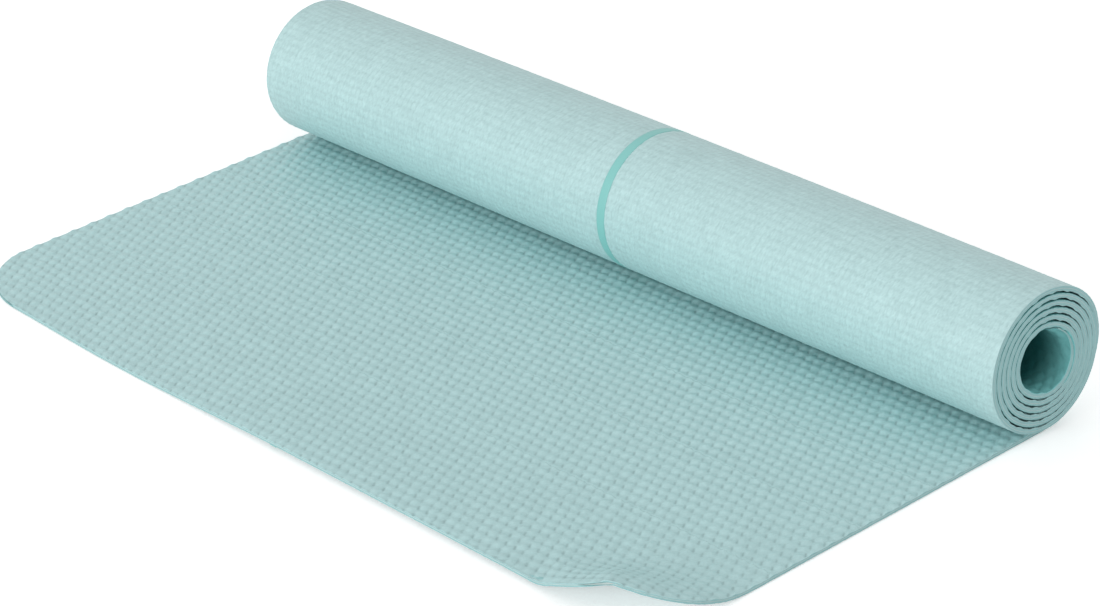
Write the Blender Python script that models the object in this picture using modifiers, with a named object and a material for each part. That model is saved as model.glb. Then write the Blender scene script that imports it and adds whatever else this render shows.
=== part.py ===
"""Yoga mat lying half unrolled: a wound roll and a flat free end.

The mat is a laminate: a base layer, a woven scrim and a grip layer, with a centre line let into
the base layer's face. X runs along the roll, the free end points to -Y, Z is up and the floor is
z = 0. The origin is the middle of the footprint. Lengths are in metres.
"""

import math

import bmesh
import bpy
from mathutils import Vector

# The mat as it is cut
MAT_WIDTH = 0.610
MAT_LENGTH = 1.730
CORNER_RADIUS = 0.055

# Its layers, from the floor up, and the clearance between them
BASE_LAYER = 0.00145
SCRIM = 0.0003
GRIP_LAYER = 0.00145
LAYER_CLEARANCE = 0.0002
SHEET = BASE_LAYER + SCRIM + GRIP_LAYER + 2 * LAYER_CLEARANCE

# The centre line, a strip let into the base layer's face
LINE_WIDTH = 0.0065
LINE_THICKNESS = 0.0004
LINE_RECESS = 0.00005
GROOVE_CLEARANCE = 0.0002

# The roll: how much of the mat lies flat, the bore left in the middle, and its oval
FREE_LENGTH = 0.325
BORE_RADIUS = 0.0194
TURN_CLEARANCE = 0.0007
OVAL = 0.003
OVAL_TILT = math.radians(62.0)
STEPS_PER_TURN = 24
SETTLING_STEPS = 20
WINDING_PITCH = SHEET + TURN_CLEARANCE

# The folds of the free end
FOLD_COUNT = 4
FOLD_CLEARANCE = 0.009
FOLD_GAP = 0.0003

CORNER_SEGMENTS = 10
SHARP_ANGLE = math.radians(30.0)
OVERRUN = 0.0003

# Colour and roughness of each layer
FINISHES = {
    "grip_layer": ((0.36, 0.60, 0.62), 0.75),
    "scrim": ((0.78, 0.84, 0.83), 0.85),
    "base_layer": ((0.46, 0.72, 0.72), 0.70),
    "centre_line": ((0.20, 0.56, 0.55), 0.55),
}

TURN = 2 * math.pi


def layer_depths():
    """Depth of each layer's two faces above the mat's underside."""
    scrim_low = BASE_LAYER + LAYER_CLEARANCE
    grip_low = scrim_low + SCRIM + LAYER_CLEARANCE
    return {
        "base_layer": (0.0, BASE_LAYER),
        "scrim": (scrim_low, scrim_low + SCRIM),
        "grip_layer": (grip_low, SHEET),
        "centre_line": (LINE_RECESS, LINE_RECESS + LINE_THICKNESS),
    }


def layer_width(layer):
    """Width of a layer: the mat's own, but for the centre line."""
    return LINE_WIDTH if layer == "centre_line" else MAT_WIDTH


def groove_depth():
    """Depth of the groove that takes the centre line."""
    return LINE_RECESS + LINE_THICKNESS + GROOVE_CLEARANCE


def groove_width():
    """Width of that groove."""
    return LINE_WIDTH + 2 * GROOVE_CLEARANCE


def outer_radius():
    """Mean radius of the underside where the winding starts, from the length wound on."""
    inner_middle = BORE_RADIUS + SHEET / 2
    wound_length = MAT_LENGTH - FREE_LENGTH
    outer_middle = math.sqrt(inner_middle ** 2 + wound_length * WINDING_PITCH / math.pi)
    return outer_middle + SHEET / 2


def winding_angle():
    """Angle through which the mat winds, from the floor to its inner end."""
    return TURN * (outer_radius() - SHEET - BORE_RADIUS) / WINDING_PITCH


def radius_at(angle):
    """Radius of the underside after this angle, measured from the bottom towards the back."""
    oval = OVAL * math.cos(2 * (angle - OVAL_TILT))
    return outer_radius() - WINDING_PITCH * angle / TURN + oval


def radius_slope(angle):
    """Change of that radius with the angle."""
    return -WINDING_PITCH / TURN - 2 * OVAL * math.sin(2 * (angle - OVAL_TILT))


def lowest_angle():
    """Angle at which the outer turn touches the floor, where it is level."""
    angle = 0.0
    for _ in range(SETTLING_STEPS):
        angle = math.atan2(radius_slope(angle), radius_at(angle))
    return angle


def axis_height():
    """Height of the roll's axis, which puts the outer turn on the floor."""
    return radius_at(lowest_angle()) * math.cos(lowest_angle())


def winding_path():
    """Underside points (y, z) and inward normals along the winding, y measured from the roll's axis."""
    start = lowest_angle()
    step = TURN / STEPS_PER_TURN
    count = int(math.ceil(winding_angle() / step))
    angles = [start + min(index * step, winding_angle()) for index in range(count + 1)]
    path = []
    for angle in angles:
        radius = radius_at(angle)
        slope = radius_slope(angle)
        outward = Vector((math.sin(angle), -math.cos(angle)))
        forward = Vector((math.cos(angle), math.sin(angle)))
        tangent = (outward * slope + forward * radius).normalized()
        point = outward * radius + Vector((0.0, axis_height()))
        path.append((point, Vector((-tangent.y, tangent.x))))
    return path


def roll_front():
    """How far the roll reaches in front of its axis."""
    return max(-point.x for point, normal in winding_path())


def roll_back():
    """How far it reaches behind its axis."""
    return max(point.x for point, normal in winding_path())


def free_edge():
    """Y of the free end, measured from the roll's axis."""
    return winding_path()[0][0].x - FREE_LENGTH


def axis_y():
    """Y of the roll's axis in the part's frame, whose origin is the middle of the footprint."""
    return -(free_edge() + roll_back()) / 2


def fold_positions():
    """Y of each fold, measured from the roll's axis."""
    first = -roll_front() - FOLD_CLEARANCE
    panel = (first - free_edge()) / FOLD_COUNT
    return [first - index * panel for index in range(FOLD_COUNT)]


def make_material(layer):
    """Plain material of one layer, made once."""
    if layer in bpy.data.materials:
        return bpy.data.materials[layer]
    colour, roughness = FINISHES[layer]
    material = bpy.data.materials.new(layer)
    material.use_nodes = True
    shader = material.node_tree.nodes["Principled BSDF"]
    shader.inputs["Base Color"].default_value = (*colour, 1.0)
    shader.inputs["Roughness"].default_value = roughness
    shader.inputs["Metallic"].default_value = 0.0
    return material


def make_object(name, mesh, collection, layer=None, parent=None, location=(0.0, 0.0, 0.0)):
    """Object in a collection, carried by an empty where it moves."""
    shape = bpy.data.objects.new(name, mesh)
    shape.location = location
    shape.parent = parent
    collection.objects.link(shape)
    if layer:
        mesh.materials.append(make_material(layer))
    else:
        shape.hide_render = True
        shape.display_type = "WIRE"
    return shape


def wound_mesh(name, middle, width, lead, overrun):
    """Open sheet along the flat run and the winding, at one depth, run on a little at both ends."""
    path = winding_path()
    points = [Vector((lead - overrun, middle))] + [point + normal * middle for point, normal in path]
    inner_normal = path[-1][1]
    points[-1] += Vector((inner_normal.y, -inner_normal.x)) * overrun
    shape = bmesh.new()
    verts = [shape.verts.new((-width / 2, y, z)) for y, z in points]
    edges = [shape.edges.new(pair) for pair in zip(verts, verts[1:])]
    swept = bmesh.ops.extrude_edge_only(shape, edges=edges)["geom"]
    moved = [item for item in swept if isinstance(item, bmesh.types.BMVert)]
    bmesh.ops.translate(shape, verts=moved, vec=(width, 0.0, 0.0))
    bmesh.ops.recalc_face_normals(shape, faces=shape.faces)
    mesh = bpy.data.meshes.new(name)
    shape.to_mesh(mesh)
    shape.free()
    mesh.shade_smooth()
    return mesh


def wound_layer(name, layer, collection, low, high, width, lead, overrun=0.0):
    """One layer of the roll, with its flat run as far as the first fold."""
    mesh = wound_mesh(name, (low + high) / 2, width, lead, overrun)
    location = (0.0, axis_y(), 0.0)
    shape = make_object(name, mesh, collection, layer, location=location)
    solidify = shape.modifiers.new("thickness", "SOLIDIFY")
    solidify.thickness = high - low
    solidify.offset = 0.0
    solidify.use_even_offset = True
    return shape


def is_far_upright(edge):
    """Whether a box's edge stands upright on its -Y side."""
    first, second = (vert.co for vert in edge.verts)
    return first.x == second.x and first.y == second.y and first.y < 0.0


def slab(name, layer, collection, parent, low, high, width, near, far, corner=0.0):
    """Flat piece between two depths, from y = near down to y = far, its far corners rounded."""
    shape = bmesh.new()
    bmesh.ops.create_cube(shape, size=1.0)
    bmesh.ops.scale(shape, verts=shape.verts, vec=(width, near - far, high - low))
    if corner:
        ends = [edge for edge in shape.edges if is_far_upright(edge)]
        bmesh.ops.bevel(shape, geom=ends, offset=corner, offset_type="OFFSET",
                        segments=CORNER_SEGMENTS, profile=0.5, affect="EDGES")
    mesh = bpy.data.meshes.new(name)
    shape.to_mesh(mesh)
    shape.free()
    mesh.shade_smooth()
    mesh.set_sharp_from_angle(angle=SHARP_ANGLE)
    location = (0.0, (near + far) / 2, (low + high) / 2 - SHEET)
    return make_object(name, mesh, collection, layer, parent, location)


def cut(shape, cutter):
    """Takes a cutter out of a shape."""
    boolean = shape.modifiers.new("groove", "BOOLEAN")
    boolean.operation = "DIFFERENCE"
    boolean.object = cutter


def make_roll(parts, cutters):
    """The wound part of the mat and its flat run as far as the first fold."""
    lead = fold_positions()[0] + FOLD_GAP / 2
    for layer, (low, high) in layer_depths().items():
        shape = wound_layer(f"{layer}_roll", layer, parts, low, high, layer_width(layer), lead)
        if layer == "base_layer":
            groove = wound_layer("groove_roll", None, cutters, -OVERRUN, groove_depth(),
                                 groove_width(), lead, OVERRUN)
            cut(shape, groove)


def make_folds(parts, cutters):
    """The panels of the free end, each carried by an empty on its fold, at the top face."""
    positions = fold_positions()
    panel = positions[0] - positions[1]
    carrier = None
    for index, position in enumerate(positions, start=1):
        fold = bpy.data.objects.new(f"fold_{index}", None)
        parts.objects.link(fold)
        fold.parent = carrier
        fold.location = (0.0, -panel, 0.0) if carrier else (0.0, axis_y() + position, SHEET)
        carrier = fold
        last = index == FOLD_COUNT
        near = -FOLD_GAP / 2
        far = -panel if last else FOLD_GAP / 2 - panel
        for layer, (low, high) in layer_depths().items():
            name = f"{layer}_fold_{index}"
            corner = CORNER_RADIUS if last and layer != "centre_line" else 0.0
            shape = slab(name, layer, parts, fold, low, high, layer_width(layer), near, far, corner)
            if layer == "base_layer":
                groove = slab(f"groove_{index}", None, cutters, fold, -OVERRUN, groove_depth(),
                              groove_width(), near + OVERRUN, far - OVERRUN)
                cut(shape, groove)


def wound_length(path):
    """Length of the mat's middle along the winding."""
    middles = [point + normal * SHEET / 2 for point, normal in path]
    return sum((after - before).length for before, after in zip(middles, middles[1:]))


def least_gap(path):
    """Least distance from the underside to the top face of the turn before it."""
    tops = [point + normal * SHEET for point, normal in path]
    least = MAT_LENGTH
    for index, (point, normal) in enumerate(path):
        turn_before = index - STEPS_PER_TURN
        for other in range(max(0, turn_before - 2), turn_before + 2):
            along = tops[other + 1] - tops[other]
            share = (point - tops[other]).dot(along) / along.length_squared
            nearest = tops[other] + along * min(max(share, 0.0), 1.0)
            least = min(least, (point - nearest).length)
    return least


def report_sizes():
    """Prints the winding's size, its least gap to itself, and where its axis and the folds are."""
    path = winding_path()
    turns = winding_angle() / TURN
    length = FREE_LENGTH + wound_length(path)
    print(f"winding: {turns:.2f} turns, least gap {least_gap(path) * 1000:.3f} mm, mat {length * 1000:.0f} mm")
    print(f"roll: front {roll_front():.4f} back {roll_back():.4f} axis {axis_y():.4f} {axis_height():.4f}")
    print("folds:", [round(axis_y() + position, 5) for position in fold_positions()], SHEET)


def main():
    for item in list(bpy.data.objects):
        bpy.data.objects.remove(item, do_unlink=True)
    parts = bpy.data.collections.new("yoga_mat")
    cutters = bpy.data.collections.new("cutters")
    for collection in (parts, cutters):
        bpy.context.scene.collection.children.link(collection)
    make_roll(parts, cutters)
    make_folds(parts, cutters)
    report_sizes()


main()
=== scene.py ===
"""Looks of a foam yoga mat, wound into a loose roll with its free end lying flat.

A place on the mat is given across its width, along its length from the free end, and as a depth up
from its underside. place() winds such points into the roll and lays the rest flat. Each layer is cut
into pieces along its length: turns of the roll, and a strip over each of the four folds.
Lengths are in metres and angles in radians. A relief's height and a colour's paleness are shares.
"""

import math

import bpy
import numpy as np
from mathutils import Matrix, Vector


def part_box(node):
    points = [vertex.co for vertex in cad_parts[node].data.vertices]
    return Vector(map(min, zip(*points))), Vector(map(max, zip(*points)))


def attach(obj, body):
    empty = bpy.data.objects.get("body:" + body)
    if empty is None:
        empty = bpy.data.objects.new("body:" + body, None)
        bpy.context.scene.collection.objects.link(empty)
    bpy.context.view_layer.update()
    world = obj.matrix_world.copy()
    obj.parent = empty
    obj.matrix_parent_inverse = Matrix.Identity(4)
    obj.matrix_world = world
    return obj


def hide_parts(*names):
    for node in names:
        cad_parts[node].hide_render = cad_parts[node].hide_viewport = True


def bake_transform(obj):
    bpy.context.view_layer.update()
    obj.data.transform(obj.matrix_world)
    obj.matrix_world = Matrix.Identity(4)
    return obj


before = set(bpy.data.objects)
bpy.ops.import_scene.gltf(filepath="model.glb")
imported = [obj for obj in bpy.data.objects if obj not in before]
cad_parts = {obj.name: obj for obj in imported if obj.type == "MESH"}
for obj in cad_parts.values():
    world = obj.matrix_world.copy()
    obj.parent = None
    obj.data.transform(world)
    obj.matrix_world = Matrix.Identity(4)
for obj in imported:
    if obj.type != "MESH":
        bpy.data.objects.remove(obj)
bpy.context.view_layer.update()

TURN = 2 * math.pi

# The mat's width and thickness, its free edge and its folds, as the plain model has them
LAST_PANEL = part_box("grip_layer_fold_4")
MAT_WIDTH = LAST_PANEL[1].x - LAST_PANEL[0].x
SHEET = LAST_PANEL[1].z
FREE_EDGE = LAST_PANEL[0].y
FOLD_COUNT = 4
FOLDS = [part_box(f"grip_layer_fold_{number}")[1].y - FREE_EDGE for number in range(1, FOLD_COUNT + 1)]
SCRIM_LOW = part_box("scrim_fold_4")[0].z
SCRIM_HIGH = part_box("scrim_fold_4")[1].z

# How it is cut and wound
MAT_LENGTH = 1.730
CORNER_RADIUS = 0.055
FREE_LENGTH = 0.325
BORE_RADIUS = 0.0194
WINDING_PITCH = 0.0043
OVAL = 0.003
OVAL_TILT = math.radians(62.0)
TABLE_STEPS = 4000
LEVEL_TRIES = 20

# The roll is a little fuller than the plain model, and most in its middle
FULLER = 0.0006
MIDDLE_FULLER = 0.0006
MIDDLE_FULLER_BY = 0.5
# Its turns stand out at the near end
TURNS_OUT = 0.0045
TURNS_OUT_BY = math.radians(150.0)
# Its inner end is drawn in, pressed outwards, and pinched thin at both mouths of the bore
INNER_END_IN = 0.0015
INNER_END_TURNS = 0.30
INNER_END_PRESSED = 0.0004
PINCH = 0.75
PINCH_BAND = 0.007
# The flat end is narrower at its far side, and its free edge is askew
FAR_SIDE_IN = 0.0060
END_SKEW = 0.0223
SKEW_PIVOT = 0.011
# The free edge is wavy: it lies low at one place, rises on the near side and draws back on the far side
WAVE_LOW = -0.134
WAVE_WIDTH = 0.150
WAVE_UP = 0.0027
WAVE_UP_END = 0.3
WAVE_UP_FADE = 0.11
WAVE_IN = 0.0045
WAVE_LENGTH = 0.090
# The near corner stands up off the floor in a ridge, which starts at a point beyond the corner
RIDGE_END = (0.2756, -0.1915)
RIDGE_HEADING = math.radians(126.6)
RIDGE_HEIGHT = 0.0227
RIDGE_LENGTH = 0.0706
RIDGE_LEFT = 0.0472
RIDGE_RIGHT = 0.0727
RIDGE_CREST_SHARE = 0.03
RIDGE_SLOPE_POWER = 1.15
RIDGE_FOOT_SHARE = 0.25
RIDGE_FOOT_POWER = 0.7

# The grip face's relief: oval pads in rows, each row half a pad along from the last
PAD = 0.00735
PAD_ROW = 0.00778
PAD_STAGGER = 0.5
PAD_STRETCH = 0.92
PAD_STEPS = 12
PAD_GROOVE = 0.40
PAD_HEIGHT = 0.0011
BORE_PAD_HEIGHT = 0.0009
# What makes up its height and its paleness: the least of it, the pads' domes, and their unevenness; the
# paleness falls away from the domes into painted shade in the hollows
PAD_LEAST, PAD_DOME, PAD_UNEVEN = 0.30, 0.60, 0.10
PALE_LEAST, PALE_DOME_SHADE, PALE_UNEVEN = 0.82, 0.10, 0.08
# Fine grain over it, in spots
PAD_SPOT = PAD / 8
PAD_SPOTS = 6
PAD_GRAIN = 0.00014
PAD_MOTTLE = 0.24
# A short slit beside each pad: its middle from the pad's, half lengths, heading, how deep, and how dark
# with painted shade
SLIT_X = 0.0017
SLIT_Y = 0.0038
SLIT_LENGTH = 0.0024
SLIT_WIDTH = 0.00058
SLIT_HEADING = math.radians(-56.0)
SLIT_FAINTEST = 0.6
SLIT_DEPTH = 0.7
SLIT_SHADE = 0.9

# The underside's relief: small knots in rows that lean a little
KNOT = 0.00408
KNOT_ROW = 0.00515
KNOT_STAGGER = -0.18
KNOT_STRETCH = 1.26
KNOT_STEPS = 5
KNOT_GROOVE = 0.45
KNOT_HEIGHT = 0.00055
KNOT_REACH = 1.28
KNOT_POWER = 2.5
# What makes up its height: the knots and their unevenness, their crowns, a rib along each row, and spots
KNOT_LEAST, KNOT_UNEVEN, KNOT_CROWN, KNOT_RIB, KNOT_SPOTTED = 0.04, 0.14, 0.12, 0.10, 0.60
KNOT_RIB_SIDE = 0.2
KNOT_SPOT = KNOT / 5
SHORT_SPOTS = 5
LONG_SPOTS = 2
SHORT_SPOT_SHARE, LONG_SPOT_SHARE = 0.6, 0.4

# Both reliefs: how far a raised place may be off its cell's middle, and the seeds of their noise
OFF_ACROSS = 0.18
OFF_ALONG = 0.16
PAD_SEED, KNOT_SEED, PAD_SPOT_SEED, SHORT_SPOT_SEED, LONG_SPOT_SEED = 1, 2, 3, 4, 5
OTHER_SEED = 7
# Multipliers and masks of the whole-number noise
COLUMN_FACTOR = 374761393
ROW_FACTOR = 668265263
SEED_FACTOR = 974711
MIXING_FACTOR = 1274126177
WORD = 0xFFFFFFFF
HALF_WORD = 0xFFFF

# The wound turns swell towards each other, less where the winding is slack, at two opposite sides and
# at the back, and where they press on each other their hidden relief is flatter
SWELL = 0.00084
SLACK = 0.00026
SLACK_AT = math.radians(168.0)
BACK_SLACK = 0.00012
BACK_AT = math.radians(80.0)
PRESSED_FLAT = 0.7
SWELL_BY = 0.03
# The underside hidden between the turns is darkened as painted shade
HIDDEN_SHADE = 0.4
# The bore's colour is darkened away from its mouths as painted shade, and its relief's paleness varies
# less
BORE_SHADE_BAND = 0.024
BORE_LEAST, BORE_RELIEF = 0.7, 0.3

# The centre line, let into the underside
LINE_WIDTH = 0.0065
LINE_BED = 0.0004
LINE_BED_SIDE = 0.00005
LINE_FACE = 0.00008
LINE_TOP = 0.00055
LINE_ROUND = 0.0002
LINE_ROUND_BAND = 0.0008
LINE_SHARES = (-1.0, -0.85, -0.6, 0.0, 0.6, 0.85, 1.0)

# The cut edges, and how far in from them the meshes have rows and columns
EDGE_ROUND = 0.00025
EDGE_STEPS = (0.0, 0.00008, 0.00025, 0.0006)
EDGE_FREE_SHARE = 0.3
SCRIM_RECESS = 0.00001
# How closely the meshes follow the mat where it is seen at an end, in the bore, or not at all
END_BAND = 0.014
BORE_BAND = 0.10
BORE_COARSER = 4
COARSE = 0.024
HIDDEN_GAP = 0.0045
PLAIN_FLAT_STEP = PAD_ROW / 4
PLAIN_WOUND_STEP = 0.002

# How far before the roll the flat pieces end, and where the pieces of a layer meet along the mat
CREASE_BAND = 0.010
BACK_SEAM = math.radians(150.0)
FRONT_SEAM = math.radians(378.0)
BORE_TURNS = 1.30


# The winding

def outer_radius():
    """Mean radius of the underside where the winding starts, from the length wound on."""
    inner_middle = BORE_RADIUS + SHEET / 2
    wound_length = MAT_LENGTH - FREE_LENGTH
    return math.sqrt(inner_middle ** 2 + wound_length * WINDING_PITCH / math.pi) + SHEET / 2


OUTER_RADIUS = outer_radius()


def radius_at(angle):
    """Radius of the underside at an angle, measured from the bottom towards the back."""
    oval = OVAL * np.cos(2 * (angle - OVAL_TILT))
    return OUTER_RADIUS + FULLER - WINDING_PITCH * angle / TURN + oval


def radius_slope(angle):
    """Change of that radius with the angle."""
    return -WINDING_PITCH / TURN - 2 * OVAL * np.sin(2 * (angle - OVAL_TILT))


def lowest_angle():
    """Angle at which the outer turn touches the floor, where it is level."""
    angle = 0.0
    for _ in range(LEVEL_TRIES):
        angle = math.atan2(radius_slope(angle), radius_at(angle))
    return angle


START = lowest_angle()
WOUND_ANGLE = TURN * (OUTER_RADIUS - SHEET - BORE_RADIUS) / WINDING_PITCH
ANGLES = np.linspace(START, START + WOUND_ANGLE, TABLE_STEPS)
AXIS_HEIGHT = radius_at(START) * math.cos(START)
TOUCH = FREE_EDGE + FREE_LENGTH
AXIS_Y = TOUCH - radius_at(START) * math.sin(START)


def wound_lengths():
    """Length of the mat's middle wound on by each of those angles."""
    speed = np.hypot(radius_at(ANGLES) - SHEET / 2, radius_slope(ANGLES))
    steps = (speed[1:] + speed[:-1]) / 2 * np.diff(ANGLES)
    return np.concatenate([[0.0], np.cumsum(steps)])


LENGTHS = wound_lengths()
INNER_END = FREE_LENGTH + LENGTHS[-1]


def angle_at(along):
    """Angle of the winding at a length from the free end."""
    return np.interp(along - FREE_LENGTH, LENGTHS, ANGLES)


def along_at(angle):
    """Length from the free end at an angle of the winding."""
    return FREE_LENGTH + float(np.interp(angle, ANGLES, LENGTHS))


# Where the pieces of a layer meet along the mat
FLAT_END = FREE_LENGTH - CREASE_BAND
MID_PANELS = [(before + after) / 2 for before, after in zip(FOLDS[:-1], FOLDS[1:])]
BACK_END = along_at(BACK_SEAM)
FRONT_END = along_at(FRONT_SEAM)
BORE_START = along_at(START + WOUND_ANGLE - BORE_TURNS * TURN)


def smooth(share):
    """Eased step from 0 to 1."""
    share = np.clip(share, 0.0, 1.0)
    return share * share * (3 - 2 * share)


def faded(share):
    """Falls smoothly from 1 to 0 as a share goes from 0 to 1."""
    return np.cos(math.pi / 2 * np.clip(share, 0.0, 1.0)) ** 2


def near_side(across, band):
    """Rises from 0 to 1 over a band along either side of the mat."""
    return smooth(1 - (MAT_WIDTH / 2 - np.abs(across)) / band)


def place(across, along, depth):
    """Where places on the mat lie at rest, as an array of points."""
    across, along, depth = np.broadcast_arrays(across, along, depth)
    angle = angle_at(along)
    wound = angle - START
    inner = smooth((wound - WOUND_ANGLE) / (INNER_END_TURNS * TURN) + 1)
    middle = MIDDLE_FULLER * (1 - (2 * across / MAT_WIDTH) ** 2) * smooth(wound / MIDDLE_FULLER_BY)
    radius = radius_at(angle)
    slope = radius_slope(angle)
    speed = np.hypot(radius, slope)
    level = (np.sin(angle) * slope + np.cos(angle) * radius) / speed
    rise = (np.sin(angle) * radius - np.cos(angle) * slope) / speed
    radius = radius + INNER_END_PRESSED * inner + middle
    depth = depth * (1 - PINCH * inner * near_side(across, PINCH_BAND))
    flat = np.clip(FREE_LENGTH - along, 0.0, None)
    y = AXIS_Y + np.sin(angle) * radius - rise * depth - flat
    z = AXIS_HEIGHT + middle - np.cos(angle) * radius + level * depth
    x = across + TURNS_OUT * smooth(wound / TURNS_OUT_BY) - INNER_END_IN * inner
    share = flat / FREE_LENGTH
    wave = smooth(np.abs(across - WAVE_LOW) / WAVE_WIDTH) * faded(along / WAVE_LENGTH)
    wave_up = WAVE_UP * wave * (across > WAVE_LOW) * smooth((WAVE_UP_END - across) / WAVE_UP_FADE)
    x = x + share * FAR_SIDE_IN * (0.5 - across / MAT_WIDTH)
    y = y - share * END_SKEW * (across - SKEW_PIVOT) + WAVE_IN * wave * (across < WAVE_LOW)
    z = z + (flat > 0.0) * ridge(x, y) + wave_up
    return np.stack([x, y, z], axis=-1)


def ridge(x, y):
    """How far the near corner stands up off the floor."""
    from_x = x - RIDGE_END[0]
    from_y = y - RIDGE_END[1]
    back = from_x * math.cos(RIDGE_HEADING) + from_y * math.sin(RIDGE_HEADING)
    right = from_x * math.sin(RIDGE_HEADING) - from_y * math.cos(RIDGE_HEADING)
    share = np.abs(right) / np.where(right > 0.0, RIDGE_RIGHT, RIDGE_LEFT)
    share = np.clip(np.hypot(share, RIDGE_CREST_SHARE), 0.0, 1.0)
    foot = np.clip((1 - share) / RIDGE_FOOT_SHARE, 0.0, 1.0) ** RIDGE_FOOT_POWER
    sideways = (1 - share ** RIDGE_SLOPE_POWER) * foot
    return RIDGE_HEIGHT * faded(back / RIDGE_LENGTH) * sideways


# The relief

def half_width(along):
    """Half the mat's width at a length from the free end, less where the corners are rounded."""
    rise = np.clip(CORNER_RADIUS - along, 0.0, CORNER_RADIUS)
    return MAT_WIDTH / 2 - CORNER_RADIUS + np.sqrt(CORNER_RADIUS ** 2 - rise ** 2)


def to_edge(across, along):
    """Distance in from the nearest cut edge."""
    side = MAT_WIDTH / 2 - np.abs(across)
    corner_x = CORNER_RADIUS - side
    corner_y = CORNER_RADIUS - along
    in_corner = (corner_x > 0.0) & (corner_y > 0.0)
    nearest = np.minimum(np.minimum(side, along), INNER_END - along)
    return np.where(in_corner, CORNER_RADIUS - np.hypot(corner_x, corner_y), nearest)


def edge_drop(distance):
    """How far a face drops where its cut edge is rounded."""
    short = np.clip(EDGE_ROUND - distance, 0.0, EDGE_ROUND)
    return EDGE_ROUND - np.sqrt(EDGE_ROUND ** 2 - short ** 2)


def cell_noise(column, row, seed):
    """A steady random number from 0 to 1 for each cell of a relief."""
    column = column.astype(np.int64) * COLUMN_FACTOR
    row = row.astype(np.int64) * ROW_FACTOR
    mixed = (column + row + seed * SEED_FACTOR) & WORD
    mixed = ((mixed ^ (mixed >> 13)) * MIXING_FACTOR) & WORD
    return ((mixed ^ (mixed >> 16)) & HALF_WORD) / HALF_WORD


def cells_around(across, along, pitch, row_pitch, stagger, seed):
    """The nine nearest cells of a relief: offsets from their middles, and two random numbers of each."""
    row = np.floor(along / row_pitch)
    around = []
    for up in (-1, 0, 1):
        shift = np.mod(stagger * (row + up), 1.0)
        column = np.floor(across / pitch - shift)
        for side in (-1, 0, 1):
            chance = cell_noise(column + side, row + up, seed)
            other = cell_noise(column + side, row + up, seed + OTHER_SEED)
            x = across / pitch - column - side - shift - 0.5 - OFF_ACROSS * (chance - 0.5)
            y = along / row_pitch - row - up - 0.5 - OFF_ALONG * (other - 0.5)
            around.append((x, y, chance, other))
    return around


def raised(around, stretch, groove):
    """Raised places, from 0 in the grooves to 1 inside, distances from their middles, and chances."""
    distances = np.stack([2 * np.hypot(x, y * stretch) for x, y, _, _ in around])
    nearest = np.argmin(distances, axis=0)[None]
    chances = np.stack([chance for _, _, chance, _ in around])
    first, second, third = np.partition(distances, 2, axis=0)[:3]
    inside = smooth((second - first) / groove) * (0.5 + 0.5 * smooth((third - first) / (2 * groove)))
    return inside, first, np.take_along_axis(chances, nearest, axis=0)[0]


def slits(around):
    """How much a place on the grip face lies in a slit, from 0 to 1."""
    cos, sin = math.cos(SLIT_HEADING), math.sin(SLIT_HEADING)
    slit = 0.0
    for x, y, _, other in around:
        slit_x = x * PAD - SLIT_X
        slit_y = y * PAD_ROW - SLIT_Y
        down = (slit_x * cos + slit_y * sin) / SLIT_LENGTH
        over = (slit_y * cos - slit_x * sin) / SLIT_WIDTH
        plain = SLIT_FAINTEST + (1 - SLIT_FAINTEST) * other
        slit = np.maximum(slit, plain * np.exp(-down ** 4 - over ** 2))
    return slit


def on_row(along, row):
    """The nearest middle of a row of a relief, where the relief is level along the mat."""
    return (round(along / row - 0.5) + 0.5) * row


def spots(across, along, width, row, count, seed):
    """Smooth spots from 0 to 1, a width wide and a number to a row, level in the middle of each row."""
    u = across / width
    v = (along / row - 0.5) * count
    column = np.floor(u)
    low_row = np.floor(v)
    right = smooth(u - column)
    up = smooth(v - low_row)

    def row_of_spots(at_row):
        """Spots along one row of them."""
        left_spot = cell_noise(column, at_row, seed)
        right_spot = cell_noise(column + 1, at_row, seed)
        return left_spot * (1 - right) + right_spot * right

    return row_of_spots(low_row) * (1 - up) + row_of_spots(low_row + 1) * up


def pads(across, along):
    """Height of the grip face's relief, from 0 in the slits to 1 on the pads, and its paleness, which is
    darker in the hollows and slits as painted shade.
    """
    around = cells_around(across, along, PAD, PAD_ROW, PAD_STAGGER, PAD_SEED)
    inside, first, chance = raised(around, PAD_STRETCH, PAD_GROOVE)
    slit = slits(around)
    dome = 0.5 + 0.5 * np.cos(math.pi * np.clip(first, 0.0, 1.0))
    height = (PAD_LEAST + PAD_DOME * dome + PAD_UNEVEN * chance * inside) * (1 - SLIT_DEPTH * slit)
    pale_and_shade = (PALE_LEAST + PALE_DOME_SHADE * dome + PALE_UNEVEN * chance * inside) * (1 - SLIT_SHADE * slit)
    return height, pale_and_shade


def knots(across, along):
    """Height of the underside's relief, from 0 in the grooves to 1 on the knots."""
    around = cells_around(across, along, KNOT, KNOT_ROW, KNOT_STAGGER, KNOT_SEED)
    inside, first, chance = raised(around, KNOT_STRETCH, KNOT_GROOVE)
    to_row = 0.5 - np.abs(along / KNOT_ROW - np.floor(along / KNOT_ROW) - 0.5)
    crown = np.clip(1 - (first / KNOT_REACH) ** KNOT_POWER, 0.0, 1.0)
    short = spots(across, along, KNOT_SPOT, KNOT_ROW, SHORT_SPOTS, SHORT_SPOT_SEED)
    long = spots(across, along, KNOT_SPOT, KNOT_ROW, LONG_SPOTS, LONG_SPOT_SEED)
    spotted = SHORT_SPOT_SHARE * short + LONG_SPOT_SHARE * long
    return (inside * (KNOT_LEAST + KNOT_UNEVEN * chance) + KNOT_CROWN * crown
            + KNOT_RIB * smooth(to_row / KNOT_RIB_SIDE) + KNOT_SPOTTED * spotted)


def into_roll(along):
    """Rises from 0 on the flat end to 1 a little way into the roll."""
    return smooth((along - FREE_LENGTH) / SWELL_BY)


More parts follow.
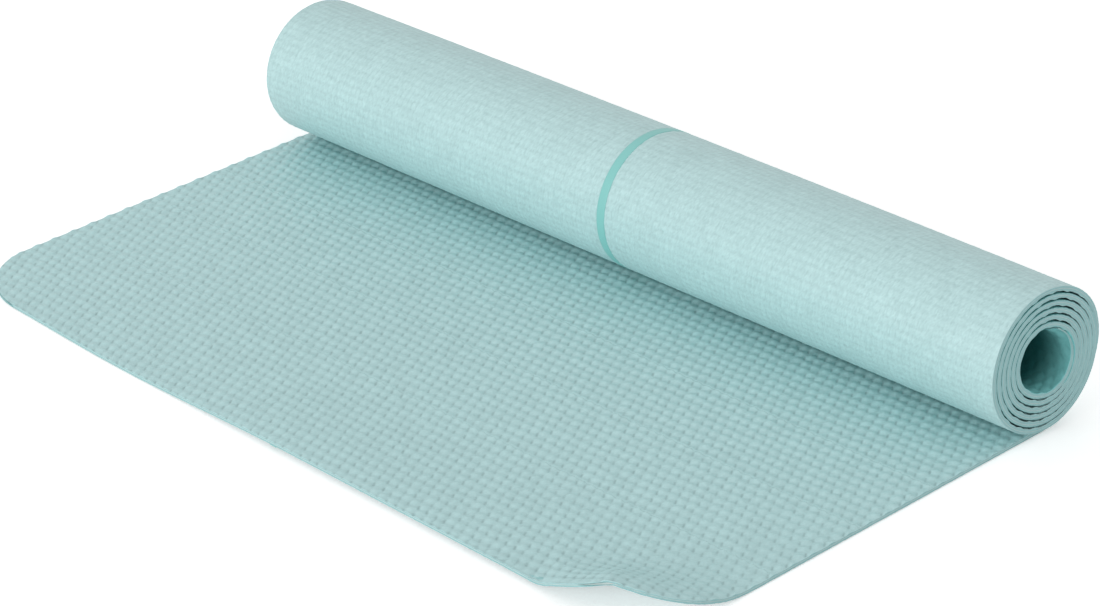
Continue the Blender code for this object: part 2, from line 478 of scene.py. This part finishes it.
def swelling(along):
    """How much thicker the mat is where it is wound, so that its turns almost touch."""
    angle = angle_at(along)
    slack = SLACK * (0.5 + 0.5 * np.cos(2 * (angle - SLACK_AT)))
    back_slack = BACK_SLACK * (0.5 + 0.5 * np.cos(angle - BACK_AT))
    return (SWELL - slack - back_slack) * into_roll(along)


def pressing(along):
    """How much of its height the relief keeps, least where the turns press on each other most."""
    pressed = 0.5 - 0.5 * np.cos(2 * (angle_at(along) - SLACK_AT))
    return 1 - PRESSED_FLAT * pressed * into_roll(along)


def grip_face(across, along, tall=PAD_HEIGHT):
    """Depth and paleness of the grip face, with painted shade in its hollows and slits."""
    height, pale_and_shade = pads(across, along)
    fine = spots(across, along, PAD_SPOT, PAD_ROW, PAD_SPOTS, PAD_SPOT_SEED)
    drop = PAD_GRAIN * fine + edge_drop(to_edge(across, along))
    depth = SHEET - tall * pressing(along) * (1 - height) - drop + swelling(along)
    return depth, pale_and_shade - PAD_MOTTLE * fine + PAD_MOTTLE / 2


def bore_shaded_face(across, along):
    """Depth and paleness of the grip face in the bore, where its relief is lower and its colour is
    darkened away from the mouths as painted shade.
    """
    depth, pale_and_shade = grip_face(across, along, BORE_PAD_HEIGHT)
    return depth, (BORE_LEAST + BORE_RELIEF * pale_and_shade) * near_side(across, BORE_SHADE_BAND)


def in_bed(across):
    """Whether a place on the underside is in the bed of the centre line."""
    return np.abs(across) < LINE_WIDTH / 2


def base_face(across, along):
    """Depth and paleness of the underside, darker in the grooves as painted shade, with the bed of the
    centre line.
    """
    relief = knots(across, along)
    depth = KNOT_HEIGHT * (1 - relief) + edge_drop(to_edge(across, along))
    return np.where(in_bed(across), LINE_BED, depth), np.where(in_bed(across), 0.0, relief)


def turns_shaded_face(across, along):
    """Depth of the underside where the turns hide it, pressed flatter, and little paleness, which is
    painted shade between the turns.
    """
    depth, relief = base_face(across, along)
    return np.where(in_bed(across), depth, depth * pressing(along)), HIDDEN_SHADE * relief


def line_face(across, along):
    """Depth and paleness of the centre line's smooth face, rounded at its sides."""
    side = LINE_WIDTH / 2 - np.abs(across)
    round_side = LINE_ROUND * np.clip(1 - side / LINE_ROUND_BAND, 0.0, 1.0) ** 2
    return LINE_FACE + round_side, np.ones(along.shape)


def scrim_face(across, along):
    """Depth and paleness of the scrim's upper face."""
    return np.full(across.shape, SCRIM_HIGH), np.ones(along.shape)


# Meshes

def spaced(start, end, step):
    """Even steps from start to end, about as long as step."""
    count = max(1, int(round(abs(end - start) / step)))
    return np.linspace(start, end, count + 1)


def columns(step, middle_step=None, band=END_BAND):
    """Places across the mat: a step apart, closest at both sides, coarser where the middle is hidden."""
    inner = MAT_WIDTH / 2 - EDGE_STEPS[-1]
    count = int(inner / step - EDGE_FREE_SHARE)
    middle = np.arange(-count, count + 1) * step
    if middle_step is not None:
        near = middle[middle > inner - band]
        middle = np.concatenate([-near[::-1], spaced(-near[0], near[0], middle_step)[1:-1], near])
    edge = MAT_WIDTH / 2 - np.array(EDGE_STEPS)
    return np.concatenate([-edge, middle, edge[::-1]])


def rows(start, end, step):
    """Places along the mat, closer together at its two cut ends."""
    steps = spaced(start, end, step)
    if start < step:
        steps = np.concatenate([EDGE_STEPS[:-1], steps[1:]])
    if end > INNER_END - step:
        steps = np.concatenate([steps[:-1], INNER_END - np.array(EDGE_STEPS[:-1][::-1])])
    return steps


def coarse(places, gap):
    """Which rows or columns the hidden side of a piece keeps, about a gap apart, with both ends."""
    kept = [0]
    for index in range(1, len(places) - 1):
        if abs(places[index] - places[kept[-1]]) >= gap and abs(places[-1] - places[index]) >= gap:
            kept.append(index)
    return kept + [len(places) - 1]


def grid_faces(numbers):
    """Quads over a grid of vertex numbers."""
    corners = [numbers[:-1, :-1], numbers[:-1, 1:], numbers[1:, 1:], numbers[1:, :-1]]
    return np.stack(corners, axis=-1).reshape(-1, 4)


def wall_faces(numbers, under, keep_v, keep_u):
    """Faces round the sides and ends, from the shown grid's vertices to the hidden grid's fewer ones."""
    walls = []
    for at, (low, high) in enumerate(zip(keep_v[:-1], keep_v[1:])):
        left = numbers[low:high + 1, 0].tolist()
        right = numbers[low:high + 1, -1].tolist()
        walls.append(left + [int(under[at + 1, 0]), int(under[at, 0])])
        walls.append(right[::-1] + [int(under[at, -1]), int(under[at + 1, -1])])
    for at, (low, high) in enumerate(zip(keep_u[:-1], keep_u[1:])):
        first = numbers[0, low:high + 1].tolist()
        last = numbers[-1, low:high + 1].tolist()
        walls.append(first[::-1] + [int(under[0, at]), int(under[0, at + 1])])
        walls.append(last + [int(under[-1, at + 1]), int(under[-1, at])])
    return walls


def layer_piece(name, face, hidden_depth, across, along, materials, flip=False, inset=0.0):
    """Closed piece of a layer: a shown face in full, a plain hidden face, and walls between them."""
    half = half_width(along)[:, None]
    share = across[None, :] / (MAT_WIDTH / 2)
    x = across[None, :] - share * (MAT_WIDTH / 2 - half + inset)
    v = np.broadcast_to(along[:, None], x.shape)
    depth, relief = face(x, v)
    keep_v = coarse(along, HIDDEN_GAP)
    keep_u = coarse(across, HIDDEN_GAP)
    shown = place(x, v, depth)
    hidden = place(x, v, hidden_depth)[np.ix_(keep_v, keep_u)]
    numbers = np.arange(x.size).reshape(x.shape)
    under = x.size + np.arange(len(keep_v) * len(keep_u)).reshape(len(keep_v), len(keep_u))
    skin = grid_faces(numbers).tolist()
    back = grid_faces(under)[:, ::-1].tolist()
    polygons = skin + back + wall_faces(numbers, under, keep_v, keep_u)
    if flip:
        polygons = [polygon[::-1] for polygon in polygons]
    mesh = bpy.data.meshes.new(name)
    vertices = np.concatenate([shown.reshape(-1, 3), hidden.reshape(-1, 3)])
    mesh.from_pydata(vertices.tolist(), [], polygons)
    for material in materials:
        mesh.materials.append(material)
    number = np.arange(len(polygons))
    cut = (number >= len(skin)).astype(np.int32) * (len(materials) - 1)
    mesh.polygons.foreach_set("use_smooth", number < len(skin) + len(back))
    mesh.polygons.foreach_set("material_index", cut)
    # The paleness goes into the relief attribute, and its low values give the painted shade of the
    # hollows
    values = np.concatenate([relief.reshape(-1), np.zeros(under.size)]).astype(np.float32)
    mesh.attributes.new("relief", "FLOAT", "POINT").data.foreach_set("value", values)
    mesh.update()
    piece = bpy.data.objects.new(name, mesh)
    bpy.context.scene.collection.objects.link(piece)
    return piece


# Materials: each foam's name, its colour on raised places and in hollows, where the darker colour is
# painted shade, and its roughness

FOAMS = {
    "grip": ("grip_foam", (0.515, 0.765, 0.775), (0.30, 0.46, 0.465), 0.5),
    # The bore's foam is darker and more saturated, nearly black in its hollows: painted shade, with the
    # teal of light bouncing inside the roll
    "bore": ("bore_shaded_foam", (0.26, 0.70, 0.70), (0.015, 0.15, 0.15), 0.7),
    "base": ("base_foam", (0.595, 0.835, 0.84), (0.39, 0.575, 0.58), 0.5),
    "scrim": ("scrim_weave", (0.62, 0.72, 0.71), (0.62, 0.72, 0.71), 0.8),
    "line": ("centre_line_film", (0.25, 0.61, 0.58), (0.25, 0.61, 0.58), 0.45),
    "cut": ("cut_foam", (0.345, 0.605, 0.615), (0.345, 0.605, 0.615), 0.85),
}
BLOTCH = 0.02
BLOTCH_SCALE = 60.0
BLOTCH_DETAIL = 4.0
BLOTCH_RANGE = (0.3, 0.7)
PORE_SCALE = 1400.0
PORE_DETAIL = 3.0
PORE_STRENGTH = 0.2
PORE_DEPTH = 0.0004
CUT_PORE_SCALE = 2200.0
CUT_PORE_STRENGTH = 0.5
LINE_PORE_STRENGTH = 0.05


def noise_on(tree, coordinates, scale, detail):
    """Noise fixed to the object."""
    texture = tree.nodes.new("ShaderNodeTexNoise")
    texture.inputs["Scale"].default_value = scale
    texture.inputs["Detail"].default_value = detail
    tree.links.new(coordinates.outputs["Object"], texture.inputs["Vector"])
    return texture.outputs["Fac"]


def foam(kind, pore=PORE_SCALE, strength=PORE_STRENGTH):
    """Foam: paler on the relief's raised places than in its hollows, where the darker colour is painted
    shade, faintly blotched, finely pored.
    """
    name, colour, shaded_hollow, roughness = FOAMS[kind]
    material = bpy.data.materials.new(name)
    material.use_nodes = True
    tree = material.node_tree
    link = tree.links.new
    shader = tree.nodes["Principled BSDF"]
    shader.inputs["Roughness"].default_value = roughness
    coordinates = tree.nodes.new("ShaderNodeTexCoord")
    # The relief attribute mixes towards the hollow colour, which is painted shade
    relief = tree.nodes.new("ShaderNodeAttribute")
    relief.attribute_name = "relief"
    mix = tree.nodes.new("ShaderNodeMix")
    mix.data_type = "RGBA"
    mix.inputs["A"].default_value = (*shaded_hollow, 1.0)
    mix.inputs["B"].default_value = (*colour, 1.0)
    link(relief.outputs["Fac"], mix.inputs["Factor"])
    blotches = noise_on(tree, coordinates, BLOTCH_SCALE, BLOTCH_DETAIL)
    spread = tree.nodes.new("ShaderNodeMapRange")
    spread.inputs["From Min"].default_value, spread.inputs["From Max"].default_value = BLOTCH_RANGE
    spread.inputs["To Min"].default_value = 1.0 - BLOTCH
    spread.inputs["To Max"].default_value = 1.0 + BLOTCH
    link(blotches, spread.inputs["Value"])
    scaled = tree.nodes.new("ShaderNodeVectorMath")
    scaled.operation = "SCALE"
    link(mix.outputs["Result"], scaled.inputs["Vector"])
    link(spread.outputs["Result"], scaled.inputs["Scale"])
    link(scaled.outputs["Vector"], shader.inputs["Base Color"])
    pores = noise_on(tree, coordinates, pore, PORE_DETAIL)
    bump = tree.nodes.new("ShaderNodeBump")
    bump.inputs["Strength"].default_value = strength
    bump.inputs["Distance"].default_value = PORE_DEPTH
    link(pores, bump.inputs["Height"])
    link(bump.outputs["Normal"], shader.inputs["Normal"])
    return material


def make_materials():
    """One skin for each layer, and one for the cut foam."""
    cut = foam("cut", CUT_PORE_SCALE, CUT_PORE_STRENGTH)
    return {
        "grip": [foam("grip"), cut],
        "bore": [foam("bore"), cut],
        "base": [foam("base"), cut],
        "scrim": [foam("scrim")],
        "line": [foam("line", strength=LINE_PORE_STRENGTH)],
    }


# The pieces: for each foam layer its slot, its shown face, the depth of its hidden face, the length of a
# row of its relief, and the steps of its mesh

LAYERS = {
    "grip": ("grip_layer", grip_face, SCRIM_HIGH, PAD_ROW, PAD / PAD_STEPS, PAD_ROW / PAD_STEPS),
    "base": ("base_layer", base_face, SCRIM_LOW, KNOT_ROW, KNOT / KNOT_STEPS, KNOT_ROW / KNOT_STEPS),
}


def line_columns():
    """Places across the centre line, closer together at its rounded sides."""
    return np.array(LINE_SHARES) * (LINE_WIDTH / 2)


def base_columns(step, middle_step=None):
    """Places across the underside, with the sides of the centre line's bed among them."""
    across = columns(step, middle_step)
    half = LINE_WIDTH / 2
    kept = across[np.abs(np.abs(across) - half) > step / 2]
    sides = [side + wall for side in (-half, half) for wall in (-LINE_BED_SIDE, LINE_BED_SIDE)]
    return np.sort(np.concatenate([kept, sides]))


def finish_piece(nodes):
    """Hides the plain model's parts that a piece stands for."""
    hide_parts(*nodes)


def fold_piece(piece):
    """Bakes a strip's transform into its mesh."""
    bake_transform(piece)


def fold_limits(number, row):
    """Where a strip over a fold starts and ends along the mat, in the middle of rows of its relief."""
    ends = [FLAT_END, *MID_PANELS]
    return on_row(ends[number], row) if number < FOLD_COUNT else 0.0, on_row(ends[number - 1], row)


def make_flat(materials):
    """The strips of every layer over the folds."""
    for number in range(1, FOLD_COUNT + 1):
        pieces = {}
        for layer, (slot, face, hidden, row, step_x, step_y) in LAYERS.items():
            start, end = fold_limits(number, row)
            across = columns(step_x) if layer == "grip" else base_columns(step_x)
            piece = layer_piece(f"{layer}_flat_{number}", face, hidden, across, rows(start, end, step_y),
                                materials[layer], flip=layer == "base")
            pieces[layer] = piece, end - start
        start, end = fold_limits(number, PAD_ROW)
        scrim = layer_piece(f"scrim_flat_{number}", scrim_face, SCRIM_LOW, columns(HIDDEN_GAP),
                            rows(start, end, PLAIN_FLAT_STEP), materials["scrim"], inset=SCRIM_RECESS)
        line = layer_piece(f"line_flat_{number}", line_face, LINE_TOP, line_columns(),
                           spaced(start, end, PLAIN_FLAT_STEP), materials["line"], flip=True)
        fold_piece(line)
        for layer, (piece, length) in pieces.items():
            fold_piece(piece)
            slot = LAYERS[layer][0]
            finish_piece([f"{slot}_fold_{number}"])
        fold_piece(scrim)
        finish_piece([f"scrim_fold_{number}"])
        finish_piece([f"centre_line_fold_{number}"])


def make_roll(materials):
    """The wound pieces of every layer."""
    wound = []
    for layer, (slot, face, hidden, row, step_x, step_y) in LAYERS.items():
        start = on_row(FLAT_END, row)
        if layer == "grip":
            turn = on_row(BORE_START, row)
            parts = [("turns", start, turn, columns(step_x, COARSE)),
                     ("bore", turn, INNER_END, columns(step_x, BORE_COARSER * step_x, BORE_BAND))]
        else:
            first, second = on_row(BACK_END, row), on_row(FRONT_END, row)
            parts = [("back", start, first, base_columns(step_x)),
                     ("front", first, second, base_columns(step_x)),
                     ("turns", second, INNER_END, base_columns(step_x, COARSE))]
        for name, low, high, across in parts:
            # The bore's grip face and the hidden underside of the turns take faces with painted shade
            shaded_face = {"grip_bore": bore_shaded_face, "base_turns": turns_shaded_face}.get(f"{layer}_{name}")
            piece = layer_piece(f"{layer}_{name}", shaded_face or face, hidden, across, rows(low, high, step_y),
                                materials["bore" if shaded_face else layer], flip=layer == "base")
            wound.append((piece, slot, high - low))
    start = on_row(FLAT_END, PAD_ROW)
    scrim = layer_piece("scrim_turns", scrim_face, SCRIM_LOW, columns(COARSE),
                        rows(start, INNER_END - SCRIM_RECESS, PLAIN_WOUND_STEP), materials["scrim"],
                        inset=SCRIM_RECESS)
    wound.append((scrim, "scrim", INNER_END - start))
    line = layer_piece("line_turns", line_face, LINE_TOP, line_columns(),
                       spaced(start, INNER_END, PLAIN_WOUND_STEP), materials["line"], flip=True)
    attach(line, "roll")
    finish_piece(["centre_line_roll"])
    for piece, slot, length in wound:
        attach(piece, "roll")
        finish_piece([f"{slot}_roll"])


# Camera, floor and light

CAMERA_AZIMUTH = math.radians(44.68)
CAMERA_ELEVATION = math.radians(26.81)
CAMERA_ROLL = math.radians(-0.14)
CAMERA_DISTANCE = 2.4484
CAMERA_TARGET = Vector((-0.0180, 0.0465, 0.0))
CAMERA_LENS = 130.33
CAMERA_SENSOR = 36.0
CAMERA_SHIFT = (0.01745, 0.0051)
CAMERA_REACH = 50.0
LAMP_DISTANCE = 5.0
KEY_HEADING = math.radians(-95.0)
KEY_ELEVATION = math.radians(14.0)
KEY_SIZE = 2.4
KEY_ENERGY = 86.0
WORLD_LEVEL = 0.70
WHITE = (1.0, 1.0, 1.0, 1.0)
FLOOR_SIZE = 6.0
FLOOR_BELOW = 0.0002
FLOOR_COLOUR = (0.93, 0.93, 0.93, 1.0)
FLOOR_ROUGHNESS = 0.9
FLOOR_GLOW = 0.40


def make_camera():
    """Camera at the photograph's angle."""
    forward = Vector((-math.sin(CAMERA_AZIMUTH) * math.cos(CAMERA_ELEVATION),
                      math.cos(CAMERA_AZIMUTH) * math.cos(CAMERA_ELEVATION),
                      -math.sin(CAMERA_ELEVATION)))
    data = bpy.data.cameras.new("camera")
    data.lens = CAMERA_LENS
    data.sensor_width = CAMERA_SENSOR
    data.shift_x, data.shift_y = CAMERA_SHIFT
    data.clip_end = CAMERA_REACH
    camera = bpy.data.objects.new("camera", data)
    turn = forward.to_track_quat("-Z", "Y").to_matrix().to_4x4() @ Matrix.Rotation(CAMERA_ROLL, 4, "Z")
    camera.matrix_world = Matrix.Translation(CAMERA_TARGET - forward * CAMERA_DISTANCE) @ turn
    bpy.context.scene.collection.objects.link(camera)
    bpy.context.scene.camera = camera


def make_floor():
    """Plain white floor."""
    corners = [(-FLOOR_SIZE, -FLOOR_SIZE, 0.0), (FLOOR_SIZE, -FLOOR_SIZE, 0.0),
               (FLOOR_SIZE, FLOOR_SIZE, 0.0), (-FLOOR_SIZE, FLOOR_SIZE, 0.0)]
    mesh = bpy.data.meshes.new("floor")
    mesh.from_pydata(corners, [], [(0, 1, 2, 3)])
    floor = bpy.data.objects.new("floor", mesh)
    floor.location.z = -FLOOR_BELOW
    bpy.context.scene.collection.objects.link(floor)
    material = bpy.data.materials.new("floor_paper")
    material.use_nodes = True
    shader = material.node_tree.nodes["Principled BSDF"]
    shader.inputs["Base Color"].default_value = FLOOR_COLOUR
    shader.inputs["Roughness"].default_value = FLOOR_ROUGHNESS
    shader.inputs["Emission Color"].default_value = WHITE
    rays = material.node_tree.nodes.new("ShaderNodeLightPath")
    glow = material.node_tree.nodes.new("ShaderNodeMath")
    glow.operation = "MULTIPLY"
    glow.inputs[1].default_value = FLOOR_GLOW
    material.node_tree.links.new(rays.outputs["Is Camera Ray"], glow.inputs[0])
    material.node_tree.links.new(glow.outputs["Value"], shader.inputs["Emission Strength"])
    mesh.materials.append(material)


def make_lamp(name, heading, elevation, size, energy):
    """Large soft square lamp that faces the mat from a heading and an elevation."""
    data = bpy.data.lights.new(name, "AREA")
    data.shape = "SQUARE"
    data.size = size
    data.energy = energy
    lamp = bpy.data.objects.new(name, data)
    towards = Vector((math.cos(heading) * math.cos(elevation), math.sin(heading) * math.cos(elevation),
                      math.sin(elevation)))
    lamp.location = towards * LAMP_DISTANCE
    lamp.rotation_euler = towards.to_track_quat("Z", "Y").to_euler()
    bpy.context.scene.collection.objects.link(lamp)


def make_light():
    """White surroundings and one broad soft lamp, low in front."""
    world = bpy.data.worlds.new("studio")
    world.use_nodes = True
    tree = world.node_tree
    background = tree.nodes["Background"]
    background.inputs["Color"].default_value = WHITE
    rays = tree.nodes.new("ShaderNodeLightPath")
    level = tree.nodes.new("ShaderNodeMapRange")
    level.inputs["To Min"].default_value = WORLD_LEVEL
    level.inputs["To Max"].default_value = 1.0
    seen = tree.nodes.new("ShaderNodeMath")
    seen.operation = "MAXIMUM"
    tree.links.new(rays.outputs["Is Camera Ray"], seen.inputs[0])
    tree.links.new(rays.outputs["Is Glossy Ray"], seen.inputs[1])
    tree.links.new(seen.outputs["Value"], level.inputs["Value"])
    tree.links.new(level.outputs["Result"], background.inputs["Strength"])
    bpy.context.scene.world = world
    make_lamp("key", KEY_HEADING, KEY_ELEVATION, KEY_SIZE, KEY_ENERGY)


def main():
    """Makes the pieces and what the camera sees them with."""
    materials = make_materials()
    make_flat(materials)
    make_roll(materials)
    make_camera()
    make_floor()
    make_light()
    bpy.context.scene.view_settings.view_transform = "Standard"


main()
